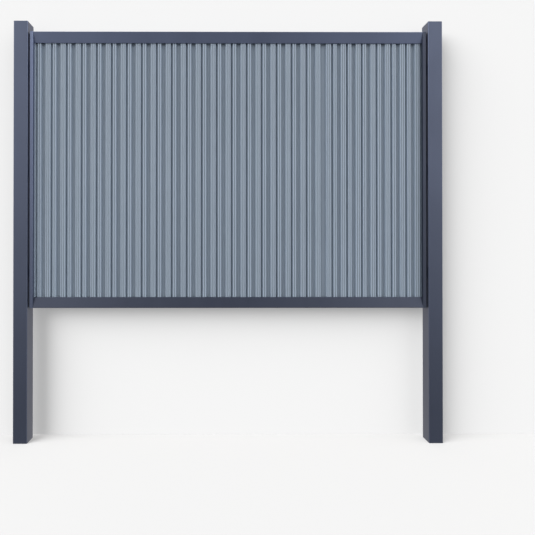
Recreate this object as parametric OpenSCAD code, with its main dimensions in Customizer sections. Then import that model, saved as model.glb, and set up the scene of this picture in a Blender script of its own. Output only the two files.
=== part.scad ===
// One bay of a steel privacy fence: two square tube posts carry a framed panel of ribbed sheet.
// +X runs along the fence from the left post, the front faces -Y and +Z is up.
// The origin is the middle of the left post's foot. All sizes are in millimetres.

/* [Bay] */
// Clear width between the two posts
bay_clear = 2280; // [1800:10:2800]
// Height of the framed panel
panel_h = 1580; // [1000:10:2000]
// Length of post below the panel, most of it for the ground
post_below = 765; // [400:5:1000]
// Length of post above the panel
post_above = 55; // [20:1:200]
// Gap between a post and the stile beside it
side_gap = 6.5; // [6.5:0.5:14]

/* [Posts] */
// Side of the square post tube
post_w = 80; // [66:1:110]
// Wall of the post tube
post_wall = 2; // [1.5:0.1:4]
// Outside radius of the post tube's corners
post_corner_r = 4; // [4:0.5:10]
// Thickness of a post cap's top plate
cap_t = 3; // [2:0.5:6]
// Depth of the plug that holds a cap in its tube
plug_depth = 18; // [8:1:40]
// Wall of a cap's plug
plug_wall = 2; // [1.5:0.5:4]

/* [Stiles] */
// Width of a stile's face
stile_face = 19; // [16:1:40]
// Depth of a stile from front to back
stile_depth = 58; // [50:1:66]
// Wall of the stile and rail channels
channel_t = 1.5; // [1:0.1:2.5]
// Outside radius of the channels' bends
bend_r = 2.5; // [2.5:0.1:4]

/* [Rails] */
// Height of a rail's face
rail_h = 60; // [40:1:90]
// How far a rail's closed edge stands behind the stile's face
rail_setback = 1; // [0:0.5:6]
// Length of the lips at a rail's mouth, beside the sheets
rail_lip = 3.5; // [3.5:0.1:8]
// Number of drain holes in the bottom rail
drain_count = 6; // [2:1:10]
// Diameter of a drain hole
drain_d = 8; // [4:1:12]

/* [Infill sheets] */
// Distance from one wide rib to the next
rib_pitch = 86.4; // [82:0.1:110]
// The same in the right sheet, which is drawn in a little to end on a rib at its stile
end_pitch = 85.3; // [82:0.1:110]
// Height of the ribs above the valleys
rib_h = 14; // [10:1:18]
// Width of a wide rib
wide_rib_w = 33; // [26:1:38]
// Width of the groove between a wide and a narrow rib
groove_w = 8; // [6:1:12]
// Width of a narrow rib
narrow_rib_w = 24; // [18:1:28]
// Sideways run of a rib's flank
flank_run = 2.5; // [1.5:0.5:4]
// Width of a shallow bead in the ribs and valleys
bead_w = 6; // [4:0.5:7]
// Depth of a shallow bead
bead_h = 1.2; // [0.6:0.1:2]
// Thickness of the sheets
sheet_t = 0.6; // [0.5:0.1:1]
// Number of rib pitches that the left sheet covers
left_pitches = 10; // [4:1:12]
// Number of rib pitches that the middle sheet covers before its last rib
middle_pitches = 9; // [4:1:12]
// Width of the flat valley where the middle and right sheets lap
joint_valley_w = 29; // [24:1:40]
// Place of the first wide rib, measured from the left post
first_rib_x = 0; // [0:1:10]

/* [Brackets] */
// Thickness of the angle brackets
bracket_t = 3; // [2:0.5:4]
// Height of a bracket
bracket_h = 60; // [40:1:100]
// Length of a bracket's leg on the post
bracket_reach = 42; // [34:1:50]
// Inside radius of a bracket's bend
bracket_bend_r = 2; // [1:0.5:4]
// Distance from the panel's ends to the middle of the end brackets
bracket_inset = 200; // [80:10:400]
// Distance from a bracket's middle to each of its screws
screw_offset = 17; // [12:1:24]
// Distance from a bracket's front edge to the middle of its post screws
screw_edge = 10; // [8:1:14]

/* [Screws] */
// Diameter of the screws' shanks
screw_d = 6; // [4:0.5:7]
// Width across the flats of the hexagon heads
hex_af = 10; // [8:1:13]
// Height of the hexagon heads
hex_h = 4.5; // [3:0.5:6]
// Diameter of the washer under a hexagon head
washer_d = 14; // [12:1:18]
// Thickness of that washer
washer_t = 1.2; // [1:0.1:2]
// Diameter of the low heads beside the posts
low_head_d = 12; // [9:0.5:14]
// Height of the low heads
low_head_h = 2.8; // [2:0.1:3.5]
// Length of shank past the last wall
screw_tail = 9; // [5:1:20]

/* [Clearances] */
// Running clearance of what seats or slides in something else
fit_gap = 0.3; // [0.2:0.1:0.8]
// Space left past a sheet's edge inside its channel
edge_space = 4; // [2:0.5:8]

/* [Hidden] */
$fn = 48;
steel_blue = [0.30, 0.33, 0.40];
sheet_grey = [0.56, 0.61, 0.67];
zinc = [0.62, 0.63, 0.64];

post_len = post_below + panel_h + post_above;
tube_len = post_len - cap_t;
right_post_x = bay_clear + post_w;
panel_z = post_below;
panel_top = panel_z + panel_h;

// The panel's frame, from the left stile's outer face to the right stile's
frame_x0 = post_w / 2 + side_gap;
frame_x1 = right_post_x - frame_x0;
rail_x0 = frame_x0 + stile_face;
rail_len = frame_x1 - frame_x0 - 2 * stile_face;

// The sheets stand in the slot between the channels' lips
rib_y = -(rib_h + sheet_t) / 2;
valley_y = rib_y + rib_h;
slot_y0 = rib_y - fit_gap;
slot_y1 = valley_y + 2 * (sheet_t + fit_gap);
sheet_x0 = frame_x0 + channel_t + edge_space;
sheet_x1 = frame_x1 - channel_t - edge_space;
sheet_z0 = panel_z + channel_t + fit_gap;
sheet_z1 = panel_top - channel_t - edge_space;
lap_back = sheet_t + fit_gap;
rail_mouth_y = slot_y1 + rail_lip;
rail_edge_y = stile_depth / 2 - rail_setback;

// Where each sheet starts in the run of ribs
first_x = post_w / 2 + first_rib_x;
middle_x = first_x + left_pitches * rib_pitch;
last_rib_x = middle_x + middle_pitches * rib_pitch;
right_x = last_rib_x + wide_rib_w + joint_valley_w;
right_pitches = max(1, ceil((sheet_x1 - right_x) / end_pitch));

bracket_zs = [panel_z + bracket_inset, panel_z + panel_h / 2, panel_top - bracket_inset];
bracket_y1 = stile_depth / 2 + bracket_t;
post_screw_y = bracket_y1 - bracket_reach + screw_edge;
stile_screw_x = frame_x0 + stile_face / 2;

// Points of an arc about c from angle a0 to a1
function arc(c, r, a0, a1, steps = 4) =
    [for (i = [0 : steps]) let (a = a0 + (a1 - a0) * i / steps) c + r * [cos(a), sin(a)]];

function unit(v) = v / norm(v);
function left_of(v) = [-v.y, v.x];

// Left-hand normal at a point of an open line, lengthened at a corner to keep the distance
function corner_normal(line, i) =
    let (last = len(line) - 1,
         before = left_of(unit(line[max(i, 1)] - line[max(i, 1) - 1])),
         after = left_of(unit(line[min(i, last - 1) + 1] - line[min(i, last - 1)])))
    (before + after) / (1 + before * after);
function beside(line, d) = [for (i = [0 : len(line) - 1]) line[i] + d * corner_normal(line, i)];
function backwards(line) = [for (i = [len(line) - 1 : -1 : 0]) line[i]];

// A sheet bent along a line, as thick as t on the line's left
module bent_strip(line, t) {
    polygon(concat(line, backwards(beside(line, t))));
}

// A line's inner corners rounded to radius r, for bends at any angle
function turn(a, b, c) = let (u = unit(b - a), v = unit(c - b)) atan2(u.x * v.y - u.y * v.x, u * v);
function bend(a, b, c, r, steps = 3) =
    let (k = turn(a, b, c), s = sign(k), m = r * tan(abs(k) / 2),
         u = unit(b - a), start = b - m * u, centre = start + s * r * left_of(u),
         a0 = atan2((start - centre).y, (start - centre).x))
    arc(centre, r, a0, a0 + k, steps);
function rounded(line, r) =
    concat([line[0]],
           [for (i = [1 : len(line) - 2]) each bend(line[i - 1], line[i], line[i + 1], r)],
           [line[len(line) - 1]]);

module rounded_square(w, r) {
    union() {
        square([w, w - 2 * r], center = true);
        square([w - 2 * r, w], center = true);
        for (sx = [-1, 1], sy = [-1, 1])
            translate([sx, sy] * (w / 2 - r))
                circle(r);
    }
}

// Posts and their caps

module post_tube() {
    inner_w = post_w - 2 * post_wall;
    inner_r = max(post_corner_r - post_wall, 0.5);
    difference() {
        linear_extrude(tube_len)
            difference() {
                rounded_square(post_w, post_corner_r);
                rounded_square(inner_w, inner_r);
            }
        post_screw_places()
            rotate([0, 90, 0])
                cylinder(h = 2 * post_wall + 2, d = screw_d + 2 * fit_gap, center = true);
    }
}

module post_cap() {
    plug_w = post_w - 2 * post_wall - 2 * fit_gap;
    plug_r = max(post_corner_r - post_wall, 0.5);
    translate([0, 0, tube_len]) {
        linear_extrude(cap_t)
            rounded_square(post_w, post_corner_r);
        translate([0, 0, -plug_depth])
            linear_extrude(plug_depth)
                difference() {
                    rounded_square(plug_w, plug_r);
                    square(plug_w - 2 * plug_wall, center = true);
                }
    }
}

// The left post's screw points, on its inner face
module post_screw_places() {
    for (z = bracket_zs, dz = [-screw_offset, screw_offset])
        translate([post_w / 2, post_screw_y, z + dz])
            children();
}

// Places what is made for the left post or stile at the right one
module at_right() {
    translate([right_post_x, 0, 0])
        mirror([1, 0, 0])
            children();
}

module post_left() {
    color(steel_blue) post_tube();
}

module post_right() {
    color(steel_blue) at_right() post_tube();
}

module post_cap_left() {
    color(steel_blue) post_cap();
}

module post_cap_right() {
    color(steel_blue) at_right() post_cap();
}

// Channels of the panel's frame

// A stile's section: lip, face, web, back and lip, open towards the sheets
function stile_line() =
    let (x0 = frame_x0, x1 = frame_x0 + stile_face, y = stile_depth / 2)
    [[x1, slot_y1], [x1, y], [x0, y], [x0, -y], [x1, -y], [x1, slot_y0]];

module stile() {
    difference() {
        translate([0, 0, panel_z])
            linear_extrude(panel_h)
                bent_strip(rounded(stile_line(), bend_r), channel_t);
        stile_screw_places()
            rotate([90, 0, 0])
                cylinder(h = 2 * channel_t + 2, d = screw_d + 2 * fit_gap, center = true);
    }
}

// The left stile's screw points, on its back
module stile_screw_places() {
    for (z = bracket_zs, dz = [-screw_offset, screw_offset])
        translate([stile_screw_x, stile_depth / 2, z + dz])
            children();
}

// A rail's section as [y, height above its closed edge], the faces lean in to the mouth
function rail_line() =
    [[slot_y0, rail_h], [-rail_mouth_y, rail_h], [-rail_edge_y, 0],
     [rail_edge_y, 0], [rail_mouth_y, rail_h], [slot_y1, rail_h]];

module rail() {
    translate([rail_x0, 0, 0])
        rotate([90, 0, 90])
            linear_extrude(rail_len)
                bent_strip(rounded(rail_line(), bend_r), channel_t);
}

module stile_left() {
    color(steel_blue) stile();
}

module stile_right() {
    color(steel_blue) at_right() stile();
}

module rail_top() {
    color(steel_blue)
        translate([0, 0, panel_top])
            mirror([0, 0, 1])
                rail();
}

module rail_bottom() {
    drain_step = rail_len / drain_count;
    color(steel_blue)
        translate([0, 0, panel_z])
            difference() {
                rail();
                for (i = [0 : drain_count - 1])
                    translate([rail_x0 + (i + 0.5) * drain_step, slot_y0 - drain_d / 2, 0])
                        cylinder(h = 4 * channel_t, d = drain_d, center = true);
            }
}

// Infill sheets

// A shallow bead centred at x on a flat at y, its floor set back by depth
function bead(x, y, depth) =
    [[x - bead_w / 2, y], [x - bead_w / 6, y + depth], [x + bead_w / 6, y + depth], [x + bead_w / 2, y]];

function half_rib(x) =
    concat([[x, valley_y], [x + flank_run, rib_y]],
           bead(x + wide_rib_w / 3, rib_y, bead_h));
function wide_rib(x) =
    concat(half_rib(x),
           bead(x + wide_rib_w * 2 / 3, rib_y, bead_h),
           [[x + wide_rib_w - flank_run, rib_y]]);
function narrow_rib(x) =
    concat([[x + flank_run, rib_y]],
           bead(x + narrow_rib_w / 2, rib_y, bead_h),
           [[x + narrow_rib_w - flank_run, rib_y], [x + narrow_rib_w, valley_y]]);

// One pitch from the foot of a wide rib to the end of the valley after it, at next_x
function one_pitch(x, next_x) =
    let (groove_x = x + wide_rib_w, narrow_x = groove_x + groove_w,
         valley_x = narrow_x + narrow_rib_w)
    concat(wide_rib(x),
           [[groove_x, valley_y], [narrow_x, valley_y]],
           narrow_rib(narrow_x),
           bead((valley_x + next_x) / 2, valley_y, -bead_h));
function pitches(x, count, step) =
    [for (i = [0 : count - 1]) each one_pitch(x + i * step, x + (i + 1) * step)];

// The same line set back behind a sheet that laps over it
function set_back(line) = beside(line, lap_back);

module sheet_of(line) {
    translate([0, 0, sheet_z0])
        linear_extrude(sheet_z1 - sheet_z0)
            intersection() {
                bent_strip(line, sheet_t);
                translate([sheet_x0, -stile_depth])
                    square([sheet_x1 - sheet_x0, 2 * stile_depth]);
            }
}

// The left sheet runs on under half of the middle sheet's first rib
module infill_sheet_left() {
    lapped = set_back(concat([[middle_x - lap_back, valley_y]], half_rib(middle_x),
                             [[middle_x + wide_rib_w / 2, rib_y]]));
    color(sheet_grey)
        sheet_of(concat(pitches(first_x, left_pitches, rib_pitch),
                        [[middle_x - 3 * lap_back, valley_y]], lapped));
}

// The middle sheet ends in a flat flange under the right sheet's edge
module infill_sheet_middle() {
    flange_x = last_rib_x + wide_rib_w;
    flange = [[flange_x, valley_y], [flange_x + 2 * lap_back, valley_y],
              [flange_x + 3 * lap_back, valley_y + lap_back],
              [right_x - 2 * lap_back, valley_y + lap_back]];
    color(sheet_grey)
        sheet_of(concat([[middle_x - lap_back, valley_y]],
                        pitches(middle_x, middle_pitches, rib_pitch), wide_rib(last_rib_x), flange));
}

module infill_sheet_right() {
    color(sheet_grey)
        sheet_of(concat([[last_rib_x + wide_rib_w + 5 * lap_back, valley_y]],
                        pitches(right_x, right_pitches, end_pitch)));
}

// Brackets and screws

// An angle from the post's inner face to the stile's back
module bracket(z) {
    x0 = post_w / 2;
    x1 = rail_x0;
    leg = [[x0, bracket_y1 - bracket_reach], [x0, bracket_y1], [x1, bracket_y1]];
    outside = rounded(leg, bracket_bend_r + bracket_t);
    translate([0, 0, z - bracket_h / 2])
        difference() {
            linear_extrude(bracket_h)
                polygon(concat(outside, backwards(beside(outside, -bracket_t))));
            for (dz = [-screw_offset, screw_offset])
                translate([0, 0, bracket_h / 2 + dz]) {
                    translate([x0, post_screw_y, 0])
                        rotate([0, 90, 0])
                            cylinder(h = 4 * bracket_t, d = screw_d + 2 * fit_gap, center = true);
                    translate([stile_screw_x, bracket_y1, 0])
                        rotate([90, 0, 0])
                            cylinder(h = 4 * bracket_t, d = screw_d + 2 * fit_gap, center = true);
                }
        }
}

// A screw with a low round head, its seat at z = 0 and its shank down -Z through grip
module low_screw(grip) {
    cylinder(h = low_head_h, d1 = low_head_d, d2 = low_head_d * 0.7);
    translate([0, 0, -grip - screw_tail])
        cylinder(h = grip + screw_tail, d = screw_d);
}

// A hexagon screw with its washer, its seat at z = 0 and its shank down -Z through grip
module hex_screw(grip) {
    cylinder(h = washer_t, d = washer_d);
    translate([0, 0, washer_t])
        cylinder(h = hex_h, d = hex_af / cos(30), $fn = 6);
    translate([0, 0, -grip - screw_tail])
        cylinder(h = grip + screw_tail, d = screw_d);
}

module post_screws() {
    post_screw_places()
        translate([bracket_t, 0, 0])
            rotate([0, 90, 0])
                low_screw(bracket_t + post_wall);
}

module stile_screws() {
    stile_screw_places()
        translate([0, bracket_t, 0])
            rotate([-90, 0, 0])
                hex_screw(bracket_t + channel_t);
}

module bracket_left_bottom() {
    color(steel_blue) bracket(bracket_zs[0]);
}

module bracket_left_middle() {
    color(steel_blue) bracket(bracket_zs[1]);
}

module bracket_left_top() {
    color(steel_blue) bracket(bracket_zs[2]);
}

module bracket_right_bottom() {
    color(steel_blue) at_right() bracket(bracket_zs[0]);
}

module bracket_right_middle() {
    color(steel_blue) at_right() bracket(bracket_zs[1]);
}

module bracket_right_top() {
    color(steel_blue) at_right() bracket(bracket_zs[2]);
}

module post_screws_left() {
    color(zinc) post_screws();
}

module post_screws_right() {
    color(zinc) at_right() post_screws();
}

module stile_screws_left() {
    color(zinc) stile_screws();
}

module stile_screws_right() {
    color(zinc) at_right() stile_screws();
}

post_left();
post_right();
post_cap_left();
post_cap_right();
stile_left();
stile_right();
rail_top();
rail_bottom();
infill_sheet_left();
infill_sheet_middle();
infill_sheet_right();
bracket_left_bottom();
bracket_left_middle();
bracket_left_top();
bracket_right_bottom();
bracket_right_middle();
bracket_right_top();
post_screws_left();
post_screws_right();
stile_screws_left();
stile_screws_right();
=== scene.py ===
import math

import bmesh
import bpy
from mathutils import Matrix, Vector


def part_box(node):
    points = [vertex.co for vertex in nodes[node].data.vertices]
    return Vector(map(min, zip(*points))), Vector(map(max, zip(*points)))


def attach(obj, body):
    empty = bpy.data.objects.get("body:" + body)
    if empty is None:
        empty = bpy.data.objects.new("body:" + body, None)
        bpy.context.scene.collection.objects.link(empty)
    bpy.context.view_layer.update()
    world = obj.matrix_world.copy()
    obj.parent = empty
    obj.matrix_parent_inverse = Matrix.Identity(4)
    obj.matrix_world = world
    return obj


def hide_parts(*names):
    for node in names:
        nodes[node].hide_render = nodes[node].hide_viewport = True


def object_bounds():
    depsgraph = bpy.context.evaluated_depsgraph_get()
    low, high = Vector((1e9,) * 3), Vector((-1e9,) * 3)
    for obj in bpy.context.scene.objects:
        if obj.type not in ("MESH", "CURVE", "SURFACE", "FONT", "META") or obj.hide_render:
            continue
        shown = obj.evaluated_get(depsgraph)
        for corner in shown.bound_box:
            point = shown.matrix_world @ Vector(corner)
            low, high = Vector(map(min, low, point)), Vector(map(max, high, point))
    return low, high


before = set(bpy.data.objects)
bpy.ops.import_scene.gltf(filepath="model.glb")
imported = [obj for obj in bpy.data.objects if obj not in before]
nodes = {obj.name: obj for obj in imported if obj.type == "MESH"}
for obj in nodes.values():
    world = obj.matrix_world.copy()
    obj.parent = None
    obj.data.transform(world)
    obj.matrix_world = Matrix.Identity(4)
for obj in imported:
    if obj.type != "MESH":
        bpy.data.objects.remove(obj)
cadLow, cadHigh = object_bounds()
scene = bpy.context.scene
print("frame loaded:", len(nodes), "parts")

millimetre = 0.001
quarter = math.pi / 2
midX = (cadLow.x + cadHigh.x) / 2


def feed(tree, socket, value):
    if isinstance(value, bpy.types.NodeSocket):
        tree.links.new(value, socket)
    else:
        socket.default_value = value


def addNode(tree, kind, inputs=None, **settings):
    node = tree.nodes.new(kind)
    for key, value in settings.items():
        setattr(node, key, value)
    for socket, value in (inputs or {}).items():
        feed(tree, node.inputs[socket], value)
    return node


def newObject(name, mesh):
    made = bpy.data.objects.new(name, mesh)
    scene.collection.objects.link(made)
    return made


def standIn(piece, node):
    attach(piece, "root")
    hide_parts(node)


# Materials, all on object coordinates in metres

def newMaterial(name):
    material = bpy.data.materials.new(name)
    material.use_nodes = True
    tree = material.node_tree
    tree.nodes.clear()
    return material, tree


def objectPlace(tree):
    return addNode(tree, "ShaderNodeTexCoord").outputs["Object"]


def splitAxes(tree, vector):
    return addNode(tree, "ShaderNodeSeparateXYZ", {"Vector": vector}).outputs


def surfaceNormal(tree):
    return splitAxes(tree, addNode(tree, "ShaderNodeNewGeometry").outputs["Normal"])


def noiseField(tree, place, scale, detail=2.0, roughness=0.5, stretch=(1, 1, 1)):
    spot = addNode(tree, "ShaderNodeMapping", {"Vector": place, "Scale": stretch})
    return addNode(tree, "ShaderNodeTexNoise",
                   {"Vector": spot.outputs["Vector"], "Scale": scale, "Detail": detail,
                    "Roughness": roughness}).outputs["Fac"]


def ranged(tree, value, low, high, fromLow=0.3, fromHigh=0.7, blend="LINEAR"):
    return addNode(tree, "ShaderNodeMapRange",
                   {"Value": value, "From Min": fromLow, "From Max": fromHigh,
                    "To Min": low, "To Max": high},
                   interpolation_type=blend).outputs["Result"]


def mixColour(tree, factor, first, second, blend="MIX"):
    mix = addNode(tree, "ShaderNodeMix", data_type="RGBA", blend_type=blend)
    share = [s for s in mix.inputs if s.name == "Factor" and s.type == "VALUE"][0]
    sides = [s for s in mix.inputs if s.type == "RGBA"]
    for socket, value in zip((share, *sides), (factor, first, second)):
        feed(tree, socket, value)
    return [s for s in mix.outputs if s.type == "RGBA"][0]


def mathResult(tree, operation, *values):
    return addNode(tree, "ShaderNodeMath", dict(enumerate(values)),
                   operation=operation).outputs[0]


def multiply(tree, first, *others):
    for other in others:
        first = mathResult(tree, "MULTIPLY", first, other)
    return first


def greyOf(tree, level):
    return addNode(tree, "ShaderNodeCombineColor",
                   {"Red": level, "Green": level, "Blue": level}).outputs["Color"]


def tinted(tree, colour, level):
    return mixColour(tree, 1.0, (*colour, 1), greyOf(tree, level), "MULTIPLY")


def edgeMask(tree, start, full):
    # a face that looks along one axis gives 0, a rounded corner up to a half
    axes = surfaceNormal(tree)
    turn = None
    for first, second in (("X", "Y"), ("Y", "Z"), ("X", "Z")):
        both = mathResult(tree, "ABSOLUTE", multiply(tree, axes[first], axes[second]))
        turn = both if turn is None else mathResult(tree, "MAXIMUM", turn, both)
    return ranged(tree, turn, 0, 1, start, full)


def finishMaterial(tree, values, relief, strength, depth):
    bump = addNode(tree, "ShaderNodeBump",
                   {"Height": relief, "Strength": strength, "Distance": depth})
    shader = addNode(tree, "ShaderNodeBsdfPrincipled",
                     {**values, "Normal": bump.outputs["Normal"]})
    addNode(tree, "ShaderNodeOutputMaterial", {"Surface": shader.outputs["BSDF"]})


powderCoat = {"colour": (0.068, 0.083, 0.132), "metallic": 0.50, "roughness": 0.34, "ior": 1.5,
              "edgeTurn": (0.33, 0.46), "edgeHighlightTone": 1.55, "edgeRoughness": 0.27,
              "cloud": 0.05, "cloudSize": 2.4, "fleck": 0.07, "fleckSize": 2600.0,
              "smearSize": 9.0, "smearStretch": (1, 1, 0.35), "smear": (-0.05, 0.07),
              "peelSize": 700.0, "peelStrength": 0.35, "peelDepth": 0.00006, "heightShadeFrom": 0.2}
# painted light and shade: each piece's coat tone near the ground and at the fence's top, chosen
# per piece, darker low and lighter high where light falls
paintedTones = {"posts": (0.62, 0.95), "rail_top": (1.44, 1.44), "rail_bottom": (0.54, 0.54),
           "stile_left": (0.72, 1.72), "stile_right": (0.48, 0.50)}


def makePowderCoat(name, footTone, topTone):
    material, tree = newMaterial(name)
    look = powderCoat
    place = objectPlace(tree)
    clouds = ranged(tree, noiseField(tree, place, look["cloudSize"], 3),
                    1 - look["cloud"], 1 + look["cloud"])
    flecks = ranged(tree, noiseField(tree, place, look["fleckSize"], 1),
                    1 - look["fleck"], 1 + look["fleck"])
    # painted light and shade: the colour runs from the foot tone at the ground to the top tone at
    # the fence's top, darker low and lighter high
    height = splitAxes(tree, place)["Z"]
    paintedHeightShade = ranged(tree, height, footTone, topTone, look["heightShadeFrom"], cadHigh.z)
    # painted highlight: the coat's colour is made lighter on the rounded edges; the coat is also
    # shinier there
    edge = edgeMask(tree, *look["edgeTurn"])
    paintedEdgeHighlight = ranged(tree, edge, 1, look["edgeHighlightTone"], 0, 1)
    shine = ranged(tree, edge, 1, look["edgeRoughness"] / look["roughness"], 0, 1)
    smears = ranged(tree, noiseField(tree, place, look["smearSize"], 4, 0.6, look["smearStretch"]),
                    *[look["roughness"] + shift for shift in look["smear"]])
    finishMaterial(tree, {"Base Color": tinted(tree, look["colour"],
                                               multiply(tree, clouds, flecks, paintedHeightShade, paintedEdgeHighlight)),
                          "Metallic": look["metallic"], "IOR": look["ior"],
                          "Roughness": multiply(tree, smears, shine)},
                   noiseField(tree, place, look["peelSize"], 2),
                   look["peelStrength"], look["peelDepth"])
    return material


# Sizes in millimetres, angles in radians, bendRoom as a share of the shorter side
ribs = {"pitch": 86.4, "endPitch": 85.3, "height": 14.0, "wide": 33.0, "groove": 8.0,
        "narrow": 24.0, "flank": 2.5, "bead": 6.0, "beadDepth": 1.2, "thickness": 0.6,
        "lap": 0.9, "jointValley": 29.0, "leftPitches": 10, "middlePitches": 9,
        "bendRadius": 1.5, "beadRadius": 1.2, "beadAngle": 0.8, "straight": 0.02,
        "bendRoom": 0.45, "bendSteps": 6, "bendStepsAngle": 1.4, "seam": 5.5,
        "weldDistance": 0.02}
ribs["frontY"] = -(ribs["height"] + ribs["thickness"]) / 2
ribs["valleyY"] = ribs["frontY"] + ribs["height"]

# painted shade and light: the tone by depth, from the rib faces (0) to the valleys (1), darker in
# the beads and valleys where shade falls and lighter on the rib faces and flanks
coilCoat = {"colour": (0.257, 0.315, 0.390), "metallic": 0.0, "roughness": 0.5, "ior": 1.5,
            "depthShadeStops": ((0.0, 1.09), (0.012, 1.09), (0.035, 0.58), (0.1, 0.44), (0.13, 1.06),
                       (0.8, 0.96), (1.0, 0.83)),
            "back": 0.9, "backTurn": 0.05, "streak": 0.022, "streakStretch": (520, 90, 0.9),
            "cloud": 0.02, "cloudSize": 1.7, "smear": 0.06, "smearSize": 14.0,
            "smearStretch": (1, 1, 0.2), "grainSize": 1300.0, "grainStrength": 0.3,
            "grainDepth": 0.00003}


# painted shade and light: a grey ramp by depth into the ribs, multiplied into the sheet's colour
def paintedDepthShade(tree, place):
    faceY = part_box("infill_sheet_left")[0].y
    depth = ranged(tree, splitAxes(tree, place)["Y"], 0.0, 1.0,
                   faceY, faceY + ribs["height"] * millimetre)
    tones = addNode(tree, "ShaderNodeValToRGB", {"Fac": depth})
    stops, depthShadeStops = tones.color_ramp.elements, coilCoat["depthShadeStops"]
    for reach, level in depthShadeStops[1:-1]:
        stops.new(reach)
    for stop, (reach, level) in zip(stops, depthShadeStops):
        stop.position, stop.color = reach, (level, level, level, 1)
    return tones.outputs["Color"]


def makeCoilCoat():
    material, tree = newMaterial("sheetCoat")
    look = coilCoat
    place = objectPlace(tree)
    streaks = ranged(tree, noiseField(tree, place, 1.0, 4, 0.6, look["streakStretch"]),
                     1 - look["streak"], 1 + look["streak"])
    clouds = ranged(tree, noiseField(tree, place, look["cloudSize"], 2),
                    1 - look["cloud"], 1 + look["cloud"])
    # the back of the sheets is one even tone
    front = ranged(tree, surfaceNormal(tree)["Y"], 1, 0, -look["backTurn"], look["backTurn"])
    # painted shade and light by depth on the front faces; the back keeps one even tone
    relief = mixColour(tree, front, (*[look["back"]] * 3, 1), paintedDepthShade(tree, place))
    smears = noiseField(tree, place, look["smearSize"], 3, 0.6, look["smearStretch"])
    finishMaterial(tree, {"Base Color": tinted(tree, look["colour"],
                                               multiply(tree, streaks, clouds, relief)),
                          "Metallic": look["metallic"], "IOR": look["ior"],
                          "Roughness": ranged(tree, smears, look["roughness"] - look["smear"],
                                              look["roughness"] + look["smear"])},
                   noiseField(tree, place, look["grainSize"], 2),
                   look["grainStrength"], look["grainDepth"])
    return material


zincPlate = {"colour": (0.60, 0.61, 0.62), "roughness": (0.26, 0.44), "dullSize": 900.0,
             "spangle": (0.86, 1.06), "spangleSize": 400.0, "brushSize": 60.0,
             "brushStretch": (30, 30, 1), "brushStrength": 0.2, "brushDepth": 0.00004}


def makeZincPlate():
    material, tree = newMaterial("screwZinc")
    look = zincPlate
    place = objectPlace(tree)
    spangle = ranged(tree, noiseField(tree, place, look["spangleSize"], 3, 0.6),
                     *look["spangle"])
    roughness = ranged(tree, noiseField(tree, place, look["dullSize"], 2), *look["roughness"])
    brush = noiseField(tree, place, look["brushSize"], 3, 0.6, look["brushStretch"])
    finishMaterial(tree, {"Base Color": tinted(tree, look["colour"], spangle), "Metallic": 1.0,
                          "Roughness": roughness},
                   brush, look["brushStrength"], look["brushDepth"])
    return material


frameCoat = makePowderCoat("frameCoat", *paintedTones["posts"])
sheetCoat = makeCoilCoat()
screwZinc = makeZincPlate()
finishes = {"frame_coat": frameCoat, "sheet_coat": sheetCoat, "screw_zinc": screwZinc}
for node in nodes.values():
    for holder in node.material_slots:
        holder.material = finishes[holder.material.name.split(".")[0]]
# each rail and stile gets its own copy of the coat, with its own painted light and shade tones
for name in ("rail_top", "rail_bottom", "stile_left", "stile_right"):
    nodes[name].material_slots[0].material = makePowderCoat(name + "Coat", *paintedTones[name])
print("finishes made")


# Geometry Nodes: what the two trees for repeated shapes share

def newTree(name, source, inputs, result):
    tree = bpy.data.node_groups.new(name, "GeometryNodeTree")
    face = tree.interface
    face.new_socket(source, in_out="INPUT", socket_type="NodeSocketGeometry")
    for label, kind in inputs:
        face.new_socket(label, in_out="INPUT", socket_type="NodeSocket" + kind)
    face.new_socket(result, in_out="OUTPUT", socket_type="NodeSocketGeometry")
    return tree, addNode(tree, "NodeGroupInput").outputs


def splitBy(tree, geometry, flag):
    flagged = addNode(tree, "GeometryNodeInputNamedAttribute", {"Name": flag},
                      data_type="BOOLEAN").outputs["Attribute"]
    parts = addNode(tree, "GeometryNodeSeparateGeometry",
                    {"Geometry": geometry, "Selection": flagged}, domain="POINT").outputs
    return parts["Selection"], parts["Inverted"]


def realised(tree, geometry):
    return addNode(tree, "GeometryNodeRealizeInstances",
                   {"Geometry": geometry}).outputs["Geometry"]


def finishTree(tree, geometry, material):
    coated = addNode(tree, "GeometryNodeSetMaterial",
                     {"Geometry": geometry, "Material": material}).outputs["Geometry"]
    addNode(tree, "NodeGroupOutput", {0: coated})
    return tree


def flagPoints(mesh, name, flags):
    mesh.attributes.new(name, "BOOLEAN", "POINT").data.foreach_set("value", flags)
    return mesh


def runTree(name, source, tree, values, material):
    holder = newObject(source.name, source)
    modifier = holder.modifiers.new("shape", "NODES")
    modifier.node_group = tree
    for item in tree.interface.items_tree:
        if item.in_out == "INPUT" and item.name in values:
            modifier[item.identifier] = values[item.name]
    graph = bpy.context.evaluated_depsgraph_get()
    mesh = bpy.data.meshes.new_from_object(holder.evaluated_get(graph))
    bpy.data.objects.remove(holder)
    mesh.name = name
    mesh.materials.clear()
    mesh.materials.append(material)
    return mesh


# Infill sheets: one pitch of the profile is drawn as a line and repeated along the bay

def beadPoints(x, y, depth):
    half = ribs["bead"] / 2
    return [(x - half, y), (x - half / 3, y + depth), (x + half / 3, y + depth), (x + half, y)]


def halfRib(x):
    return [(x, ribs["valleyY"]), (x + ribs["flank"], ribs["frontY"]),
            *beadPoints(x + ribs["wide"] / 3, ribs["frontY"], ribs["beadDepth"])]


def wideRib(x):
    return [*halfRib(x), *beadPoints(x + ribs["wide"] * 2 / 3, ribs["frontY"], ribs["beadDepth"]),
            (x + ribs["wide"] - ribs["flank"], ribs["frontY"]),
            (x + ribs["wide"], ribs["valleyY"])]


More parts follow.
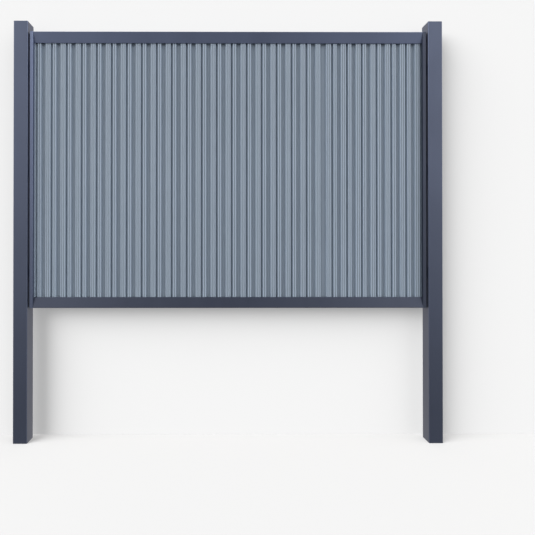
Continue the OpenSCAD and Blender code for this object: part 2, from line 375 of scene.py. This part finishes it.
def onePitch(x, pitch):
    narrowX = x + ribs["wide"] + ribs["groove"]
    valleyX = narrowX + ribs["narrow"]
    front, valley = ribs["frontY"], ribs["valleyY"]
    return [(x - ribs["seam"], valley), *wideRib(x), (narrowX, valley),
            (narrowX + ribs["flank"], front),
            *beadPoints(narrowX + ribs["narrow"] / 2, front, ribs["beadDepth"]),
            (valleyX - ribs["flank"], front), (valleyX, valley),
            *beadPoints((valleyX + x + pitch) / 2, valley, -ribs["beadDepth"]),
            (x + pitch - ribs["seam"], valley)]


def setBack(line, distance):
    moved = []
    last = len(line) - 2
    for i, point in enumerate(line):
        before = Vector(line[max(i, 1)]) - Vector(line[max(i, 1) - 1])
        after = Vector(line[min(i, last) + 1]) - Vector(line[min(i, last)])
        sides = [Vector((-d.y, d.x)).normalized() for d in (before, after)]
        corner = (sides[0] + sides[1]) / (1 + sides[0].dot(sides[1]))
        moved.append(tuple(Vector(point) + distance * corner))
    return moved


def roundBends(line):
    smooth = [line[0]]
    for before, corner, after in zip(line, line[1:], line[2:]):
        a, b, c = Vector(before), Vector(corner), Vector(after)
        into, away = (b - a).normalized(), (c - b).normalized()
        angle = into.angle(away)
        if angle < ribs["straight"]:
            smooth.append(corner)
            continue
        radius = ribs["bendRadius"] if angle > ribs["beadAngle"] else ribs["beadRadius"]
        room = ribs["bendRoom"] * min((b - a).length, (c - b).length)
        reach = min(radius * math.tan(angle / 2), room)
        start, finish = b - into * reach, b + away * reach
        pull = math.cos(angle / 2)
        steps = max(2, round(ribs["bendSteps"] * angle / ribs["bendStepsAngle"]))
        for i in range(steps + 1):
            t = i / steps
            first, middle, last = (1 - t) ** 2, 2 * pull * t * (1 - t), t * t
            smooth.append(tuple((first * start + middle * b + last * finish)
                                / (first + middle + last)))
    return [*smooth, line[-1]]


def ribTree():
    tree, given = newTree("ribbedSheet", "Line", (("Pitch", "Float"), ("Pitches", "Int"),
                                                  ("Height", "Float"), ("Coat", "Material")),
                          "Sheet")
    ends, pitchLine = splitBy(tree, given["Line"], "isEnd")
    step = addNode(tree, "ShaderNodeCombineXYZ", {"X": given["Pitch"]}).outputs["Vector"]
    starts = addNode(tree, "GeometryNodeMeshLine", {"Count": given["Pitches"], "Offset": step},
                     mode="OFFSET").outputs["Mesh"]
    run = addNode(tree, "GeometryNodeInstanceOnPoints",
                  {"Points": starts, "Instance": pitchLine}).outputs["Instances"]
    joined = addNode(tree, "GeometryNodeJoinGeometry")
    for part in (run, ends):
        tree.links.new(part, joined.inputs["Geometry"])
    merged = addNode(tree, "GeometryNodeMergeByDistance",
                     {"Geometry": realised(tree, joined.outputs["Geometry"]),
                      "Distance": ribs["weldDistance"] * millimetre}).outputs["Geometry"]
    lift = addNode(tree, "ShaderNodeCombineXYZ", {"Z": given["Height"]}).outputs["Vector"]
    raised = addNode(tree, "GeometryNodeExtrudeMesh", {"Mesh": merged, "Offset": lift},
                     mode="EDGES").outputs["Mesh"]
    return finishTree(tree, raised, given["Coat"])


def lineMesh(name, line, ends):
    points, edges, flags = [], [], []
    for run, isEnd in [(line, False), *[(end, True) for end in ends]]:
        first = len(points)
        points += [(x * millimetre, y * millimetre, 0) for x, y in run]
        edges += [(first + i, first + i + 1) for i in range(len(run) - 1)]
        flags += [isEnd] * len(run)
    mesh = bpy.data.meshes.new(name)
    mesh.from_pydata(points, edges, [])
    return flagPoints(mesh, "isEnd", flags)


def trimSheet(mesh, low, high):
    work = bmesh.new()
    work.from_mesh(mesh)
    bmesh.ops.translate(work, verts=work.verts, vec=(0, 0, low.z))
    for edge, side in ((low.x, -1), (high.x, 1)):
        bmesh.ops.bisect_plane(work, geom=[*work.verts, *work.edges, *work.faces],
                               plane_co=(edge, 0, 0), plane_no=(side, 0, 0), clear_outer=True)
    if sum(f.normal.y for f in work.faces) > 0:
        bmesh.ops.reverse_faces(work, faces=work.faces)
    work.to_mesh(mesh)
    work.free()


def ribbedSheet(name, node, firstX, pitch, count, end):
    low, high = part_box(node)
    line = lineMesh(name + "Line", roundBends(onePitch(firstX, pitch)), [end])
    mesh = runTree(name, line, sheetTree,
                   {"Pitch": pitch * millimetre, "Pitches": count, "Height": high.z - low.z,
                    "Coat": sheetCoat}, sheetCoat)
    trimSheet(mesh, low, high)
    piece = newObject(name, mesh)
    wall = piece.modifiers.new("thickness", "SOLIDIFY")
    wall.thickness = ribs["thickness"] * millimetre
    wall.offset = -1
    wall.use_even_offset = True
    mesh.shade_smooth()
    soft = piece.modifiers.new("flats", "WEIGHTED_NORMAL")
    soft.keep_sharp = True
    standIn(piece, node)


sheetTree = ribTree()
lap, seam, valleyY, frontY = ribs["lap"], ribs["seam"], ribs["valleyY"], ribs["frontY"]
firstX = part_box("post_left")[1].x / millimetre
middleX = firstX + ribs["leftPitches"] * ribs["pitch"]
lastRibX = middleX + ribs["middlePitches"] * ribs["pitch"]
flangeX = lastRibX + ribs["wide"]
rightX = flangeX + ribs["jointValley"]
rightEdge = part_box("infill_sheet_right")[1].x / millimetre
rightCount = math.ceil((rightEdge - rightX) / ribs["endPitch"])
# the left sheet ends halfway behind the middle one's first rib
lapLine = setBack([(middleX - lap, valleyY), *halfRib(middleX),
                   (middleX + ribs["wide"] / 2, frontY)], lap)
leftEnd = roundBends([(middleX - seam, valleyY), (middleX - 3 * lap, valleyY), *lapLine])
# the middle sheet steps back after its last rib and runs on behind the right one
middleEnd = roundBends([(lastRibX - seam, valleyY), *wideRib(lastRibX),
                        (flangeX + 2 * lap, valleyY),
                        (flangeX + 3 * lap, valleyY + lap), (rightX - 2 * lap, valleyY + lap)])
rightStart = [(flangeX + 5 * lap, valleyY), (rightX - seam, valleyY)]
for name, startX, pitch, count, end in (
        ("left", firstX, ribs["pitch"], ribs["leftPitches"], leftEnd),
        ("middle", middleX, ribs["pitch"], ribs["middlePitches"], middleEnd),
        ("right", rightX, ribs["endPitch"], rightCount, rightStart)):
    ribbedSheet(name + "Sheet", "infill_sheet_" + name, startX, pitch, count, end)
print("infill sheets made")


# Round pieces and caps are closed shells, bridged from ring to ring

def shellMesh(name, rings):
    work = bmesh.new()
    loops = [[work.verts.new(point) for point in ring] for ring in rings]
    for lower, upper in zip(loops, loops[1:]):
        for i in range(len(lower)):
            work.faces.new((lower[i - 1], lower[i], upper[i], upper[i - 1]))
    work.faces.new(list(reversed(loops[0])))
    work.faces.new(loops[-1])
    bmesh.ops.recalc_face_normals(work, faces=work.faces)
    mesh = bpy.data.meshes.new(name)
    work.to_mesh(mesh)
    work.free()
    return mesh


def smoothTo(mesh, crease):
    mesh.shade_smooth()
    mesh.set_sharp_from_angle(angle=math.radians(crease))


# Screws: each kind is turned once and set at every bracket, with its head at a chance angle

screws = {"offset": 17.0, "shank": 6.0, "thread": 0.35, "threadPitch": 1.0, "tail": 9.0,
          "tip": 0.6, "grip": {"post": 5.0, "stile": 4.5}, "head": {"post": 2.8, "stile": 5.7},
          "rim": 0.5, "lowHead": 12.0, "crown": 0.5, "domeSteps": 7, "socket": 2.0,
          "socketDepth": 1.7, "socketTip": 0.4, "crease": 20.0,
          "washer": 14.0, "washerHeight": 1.2, "washerEdge": 0.3, "flats": 10.0,
          "chamfer": 0.55, "chamferCircle": 0.93, "sides": 36, "seed": 11}


def turned(name, steps):
    rings = []
    for radius, z, isHex in steps:
        ring = []
        for i in range(screws["sides"]):
            angle = math.tau * i / screws["sides"]
            # a hexagon is a circle let out to its flats
            reach = radius / math.cos((angle % (math.pi / 3)) - math.pi / 6) if isHex else radius
            ring.append([millimetre * v for v in (reach * math.cos(angle),
                                                  reach * math.sin(angle), z)])
        rings.append(ring)
    return shellMesh(name, rings)


def shankRings(grip):
    full, half = screws["shank"] / 2, screws["threadPitch"] / 2
    core, start = full - screws["thread"], -grip - screws["tail"]
    thread = [(core if i % 2 else full, start + i * half, False)
              for i in range(1, round(screws["tail"] / half))]
    return [(core - screws["tip"], start, False), *thread, (full, -grip, False), (full, 0, False)]


def lowHeadRings():
    top, wide, crown = screws["head"]["post"], screws["lowHead"] / 2, screws["crown"]
    dome = [(wide, 0, False)]
    for i in range(screws["domeSteps"] + 1):
        rise = quarter * i / screws["domeSteps"]
        dome.append((wide * (crown + (1 - crown) * math.cos(rise)),
                     screws["rim"] + (top - screws["rim"]) * math.sin(rise), False))
    floor = top - screws["socketDepth"]
    socket = [(screws["socket"], top, True), (screws["socket"], floor, True),
              (screws["socketTip"], floor - screws["socketTip"], False)]
    return [*shankRings(screws["grip"]["post"]), *dome, *socket]


def hexHeadRings():
    top, low, flats = screws["head"]["stile"], screws["washerHeight"], screws["flats"] / 2
    rim, bevel = screws["washer"] / 2, low * screws["washerEdge"]
    washer = [(rim, 0, False), (rim, low - bevel, False), (rim - bevel, low, False)]
    head = [(flats, low, True), (flats, top - screws["chamfer"], True),
            (flats * screws["chamferCircle"], top, False)]
    return [*shankRings(screws["grip"]["stile"]), *washer, *head]


def screwTree():
    tree, given = newTree("screwRow", "Screw and spots",
                          (("Axis", "Rotation"), ("Seed", "Int"), ("Finish", "Material")),
                          "Screws")
    spots, screw = splitBy(tree, given["Screw and spots"], "isSpot")
    row = addNode(tree, "GeometryNodeInstanceOnPoints",
                  {"Points": spots, "Instance": screw,
                   "Rotation": given["Axis"]}).outputs["Instances"]
    chance = addNode(tree, "FunctionNodeRandomValue", {"Seed": given["Seed"]}, data_type="FLOAT")
    angle = mathResult(tree, "MULTIPLY", chance.outputs["Value"], math.tau)
    spin = addNode(tree, "ShaderNodeCombineXYZ", {"Z": angle}).outputs["Vector"]
    row = addNode(tree, "GeometryNodeRotateInstances",
                  {"Instances": row, "Rotation": spin, "Local Space": True}).outputs["Instances"]
    return finishTree(tree, realised(tree, row), given["Finish"])


def spotMesh(name, screw, spots):
    work = bmesh.new()
    work.from_mesh(screw)
    for spot in spots:
        work.verts.new(spot)
    mesh = bpy.data.meshes.new(name)
    work.to_mesh(mesh)
    work.free()
    flags = [i >= len(screw.vertices) for i in range(len(mesh.vertices))]
    return flagPoints(mesh, "isSpot", flags)


def screwRow(name, node, screw, seat, axis):
    side = node.split("_")[-1]
    spots = []
    for level in ("bottom", "middle", "top"):
        low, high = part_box("bracket_" + side + "_" + level)
        for offset in (-screws["offset"], screws["offset"]):
            spots.append((*seat, (low.z + high.z) / 2 + offset * millimetre))
    mesh = runTree(name, spotMesh(name + "Spots", screw, spots), rowTree,
                   {"Axis": axis, "Seed": screws["seed"] + len(node), "Finish": screwZinc},
                   screwZinc)
    smoothTo(mesh, screws["crease"])
    standIn(newObject(name, mesh), node)


rowTree = screwTree()
lowScrew = turned("lowScrew", lowHeadRings())
hexScrew = turned("hexScrew", hexHeadRings())
for side, hand in (("left", 1), ("right", -1)):
    low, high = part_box("post_screws_" + side)
    head = screws["head"]["post"] * millimetre
    seat = (high.x - head if hand > 0 else low.x + head, (low.y + high.y) / 2)
    screwRow(side + "PostScrews", "post_screws_" + side, lowScrew, seat, (0, hand * quarter, 0))
    low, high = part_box("stile_screws_" + side)
    seat = ((low.x + high.x) / 2, high.y - screws["head"]["stile"] * millimetre)
    screwRow(side + "StileScrews", "stile_screws_" + side, hexScrew, seat, (-quarter, 0, 0))
print("screws made")


# Post caps: a plate with softly rounded edges on a plug

caps = {"corner": 4.0, "smallestCorner": 0.6, "cornerSteps": 8, "plate": 3.0, "edge": 1.3,
        "edgeSteps": 5, "plugInset": 2.3, "plugWall": 2.0, "crease": 40.0}


def squareLoop(half, corner):
    points = []
    for quadrant in range(4):
        flatX = (half - corner) * (1 if quadrant in (0, 3) else -1)
        flatY = (half - corner) * (1 if quadrant in (0, 1) else -1)
        for i in range(caps["cornerSteps"] + 1):
            angle = quarter * (quadrant + i / caps["cornerSteps"])
            points.append((flatX + corner * math.cos(angle), flatY + corner * math.sin(angle)))
    return points


def postCap(name, node):
    low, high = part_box(node)
    middle = (low + high) / 2
    half = (high.x - low.x) / 2 / millimetre
    top, foot = high.z / millimetre, low.z / millimetre
    plate = top - caps["plate"]
    outer, inner = caps["plugInset"], caps["plugInset"] + caps["plugWall"]
    steps = [(inner, plate), (inner, foot), (outer, foot), (outer, plate), (0, plate)]
    for i in range(caps["edgeSteps"] + 1):
        angle = quarter * i / caps["edgeSteps"]
        steps.append((caps["edge"] * (1 - math.cos(angle)),
                      top - caps["edge"] * (1 - math.sin(angle))))
    rings = []
    for inset, z in steps:
        loop = squareLoop(half - inset, max(caps["corner"] - inset, caps["smallestCorner"]))
        rings.append([(middle.x + x * millimetre, middle.y + y * millimetre, z * millimetre)
                      for x, y in loop])
    mesh = shellMesh(name, rings)
    mesh.materials.append(frameCoat)
    smoothTo(mesh, caps["crease"])
    standIn(newObject(name, mesh), node)


postCap("leftCap", "post_cap_left")
postCap("rightCap", "post_cap_right")
print("post caps made")


# Studio: a soft sky brighter at the sides, and a key light that draws the shadow on the stage

studio = {"floorColour": 0.265, "backdropColour": 0.286, "stageGlow": 0.255, "backdropY": 0.078,
          "floorDrop": 0.0005, "span": 14.0, "backdropHeight": 7.0, "background": 0.92,
          "keyStrength": 7.6, "keyAngle": 52.0, "keyFrom": (-1.3, -1.0, 0.95), "keyFar": 3}
# the sky's levels by height, to the sides and behind the fence, and where each one turns
sky = {"low": 0.32, "high": 1.65, "rise": (-0.55, 0.55), "centre": 0.24, "sides": 1.7,
       "aside": (0.08, 0.60), "rear": (0.88, 0.84, 0.81), "behind": (-0.05, 0.35)}

stageSet = bpy.data.collections.new("stageSet")
scene.collection.children.link(stageSet)


def stagePlane(name, corners, colour, seeThrough):
    mesh = bpy.data.meshes.new(name)
    mesh.from_pydata(corners, [], [(0, 1, 2, 3)])
    plane = bpy.data.objects.new(name, mesh)
    stageSet.objects.link(plane)
    material, tree = newMaterial(name)
    result = addNode(tree, "ShaderNodeBsdfPrincipled",
                     {"Base Color": (colour, colour, colour, 1), "Roughness": 1.0,
                      "Specular IOR Level": 0.0, "Emission Color": (1, 1, 1, 1),
                      "Emission Strength": studio["stageGlow"]}).outputs["BSDF"]
    if seeThrough:
        back = addNode(tree, "ShaderNodeNewGeometry").outputs["Backfacing"]
        clear = addNode(tree, "ShaderNodeBsdfTransparent").outputs["BSDF"]
        result = addNode(tree, "ShaderNodeMixShader", {0: back, 1: result, 2: clear}).outputs[0]
    addNode(tree, "ShaderNodeOutputMaterial", {"Surface": result})
    mesh.materials.append(material)
    plane.visible_diffuse = False
    plane.visible_glossy = False
    plane.visible_transmission = False
    plane.visible_shadow = False


half = studio["span"] / 2
left, right = midX - half, midX + half
wallY, wallZ, floorZ = studio["backdropY"], studio["backdropHeight"], -studio["floorDrop"]
stagePlane("floor", [(left, -half, floorZ), (right, -half, floorZ), (right, half, floorZ),
                     (left, half, floorZ)], studio["floorColour"], False)
# clear from behind
stagePlane("backdrop", [(left, wallY, floorZ), (right, wallY, floorZ), (right, wallY, wallZ),
                        (left, wallY, wallZ)], studio["backdropColour"], True)

key = bpy.data.lights.new("key", "SUN")
key.energy = studio["keyStrength"]
key.angle = math.radians(studio["keyAngle"])
keyLamp = newObject("key", key)
keyLamp.rotation_mode = "QUATERNION"
keyLamp.rotation_quaternion = Vector(studio["keyFrom"]).to_track_quat("Z", "Y")
keyLamp.location = Vector(studio["keyFrom"]) * studio["keyFar"]
keyLamp.light_linking.receiver_collection = stageSet


def makeSky():
    world = bpy.data.worlds.new("studioSky")
    scene.world = world
    world.use_nodes = True
    tree = world.node_tree
    tree.nodes.clear()
    way = splitAxes(tree, addNode(tree, "ShaderNodeTexCoord").outputs["Generated"])
    height = ranged(tree, way["Z"], sky["low"], sky["high"], *sky["rise"], "SMOOTHSTEP")
    side = mathResult(tree, "ABSOLUTE", way["X"])
    aside = ranged(tree, side, sky["centre"], sky["sides"], *sky["aside"], "SMOOTHSTEP")
    front = greyOf(tree, multiply(tree, height, aside))
    behind = ranged(tree, way["Y"], 0, 1, *sky["behind"], "SMOOTHSTEP")
    colour = mixColour(tree, behind, front, (*sky["rear"], 1))
    light = addNode(tree, "ShaderNodeBackground", {"Color": colour}).outputs["Background"]
    seen = addNode(tree, "ShaderNodeBackground",
                   {"Color": (1, 1, 1, 1), "Strength": studio["background"]}).outputs["Background"]
    # the plain background is for the camera only: the metal reflects the sky
    camera = addNode(tree, "ShaderNodeLightPath").outputs["Is Camera Ray"]
    mix = addNode(tree, "ShaderNodeMixShader", {0: camera, 1: light, 2: seen})
    addNode(tree, "ShaderNodeOutputWorld", {"Surface": mix.outputs[0]})


makeSky()
print("studio made")


# Camera, level with the middle of the bay and close to it

shot = {"place": (1.1526, -2.4820, 1.1678), "rise": 0.264, "turn": -0.186, "lens": 28.94,
        "sensor": 36, "shift": (0.0798, -0.0600), "clip": (0.05, 100)}
lens = bpy.data.cameras.new("camera")
lens.lens = shot["lens"]
lens.sensor_width = shot["sensor"]
lens.shift_x, lens.shift_y = shot["shift"]
lens.clip_start, lens.clip_end = shot["clip"]
camera = newObject("camera", lens)
camera.location = shot["place"]
camera.rotation_euler = (math.radians(90 + shot["rise"]), 0, math.radians(shot["turn"]))
scene.camera = camera
scene.view_settings.view_transform = "Standard"
print("camera set")
